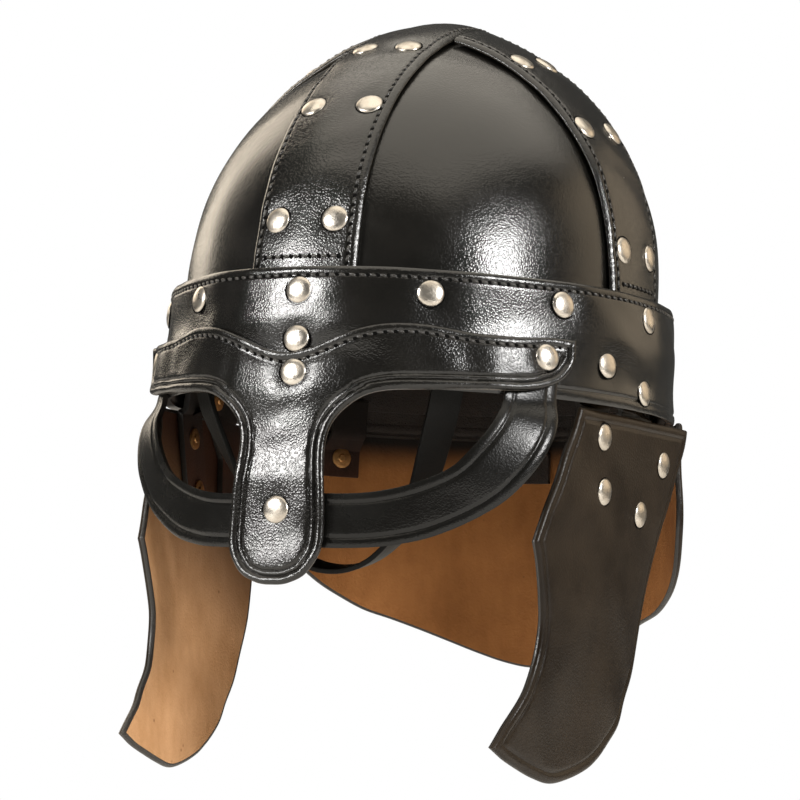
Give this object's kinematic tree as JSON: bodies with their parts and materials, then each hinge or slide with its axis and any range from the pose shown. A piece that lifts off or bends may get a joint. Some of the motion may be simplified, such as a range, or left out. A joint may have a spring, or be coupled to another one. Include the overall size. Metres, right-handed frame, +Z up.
{
  "type": "leather viking helmet",
  "caption": "Black leather viking helmet with strapped crown, riveted brow band, spectacle visor, cheek guards, neck guard and chin strap.",
  "frame": {"origin": "middle of the head opening, level with the lower edge of the brow band", "axes": "+Z up, the face opening looks along -Y, +X is the wearer's left"},
  "size_m": [0.201, 0.2407, 0.2992],
  "materials": {
    "crown_leather": "glossy dyed black grain",
    "strap_leather": "glossy dyed black grain, stitched edges",
    "band_leather": "glossy dyed black grain, creased edges",
    "guard_leather": "black grain outside, tan flesh side inside",
    "hanger_leather": "black grain with brown flesh side",
    "nickel_rivets": "nickel plated domes"
  },
  "bodies": {
    "root": {"band_rivet_0": "nickel_rivets", "band_rivet_120": "nickel_rivets", "band_rivet_150": "nickel_rivets", "band_rivet_180": "nickel_rivets", "band_rivet_210": "nickel_rivets", "band_rivet_240": "nickel_rivets", "band_rivet_270": "nickel_rivets", "band_rivet_30": "nickel_rivets", "band_rivet_300": "nickel_rivets", "band_rivet_330": "nickel_rivets", "band_rivet_60": "nickel_rivets", "band_rivet_90": "nickel_rivets", "brow_band": "band_leather", "brow_rivet": "nickel_rivets", "cheek_guard_left": "guard_leather", "cheek_guard_right": "guard_leather", "cheek_hanger_front_left": "hanger_leather", "cheek_hanger_front_right": "hanger_leather", "cheek_hanger_rear_left": "hanger_leather", "cheek_hanger_rear_right": "hanger_leather", "cheek_rivet_front_lower_left": "nickel_rivets", "cheek_rivet_front_lower_right": "nickel_rivets", "cheek_rivet_front_upper_left": "nickel_rivets", "cheek_rivet_front_upper_right": "nickel_rivets", "cheek_rivet_rear_lower_left": "nickel_rivets", "cheek_rivet_rear_lower_right": "nickel_rivets", "cheek_rivet_rear_upper_left": "nickel_rivets", "cheek_rivet_rear_upper_right": "nickel_rivets", "chin_strap": "strap_leather", "crown_panel_back_left": "crown_leather", "crown_panel_back_right": "crown_leather", "crown_panel_front_left": "crown_leather", "crown_panel_front_right": "crown_leather", "eye_strip": "band_leather", "hanger_rivet_front_left": "nickel_rivets", "hanger_rivet_front_right": "nickel_rivets", "hanger_rivet_rear_left": "nickel_rivets", "hanger_rivet_rear_right": "nickel_rivets", "nasal_rivet": "nickel_rivets", "neck_band_rivet_back": "nickel_rivets", "neck_band_rivet_left": "nickel_rivets", "neck_band_rivet_right": "nickel_rivets", "neck_guard": "guard_leather", "neck_hanger_back": "hanger_leather", "neck_hanger_left": "hanger_leather", "neck_hanger_right": "hanger_leather", "neck_rivet_back": "nickel_rivets", "neck_rivet_left": "nickel_rivets", "neck_rivet_right": "nickel_rivets", "ridge_strap": "strap_leather", "side_strap_left": "strap_leather", "side_strap_right": "strap_leather", "visor": "band_leather", "visor_rivet_left": "nickel_rivets", "visor_rivet_middle": "nickel_rivets", "visor_rivet_right": "nickel_rivets"}
  },
  "joints": []
}
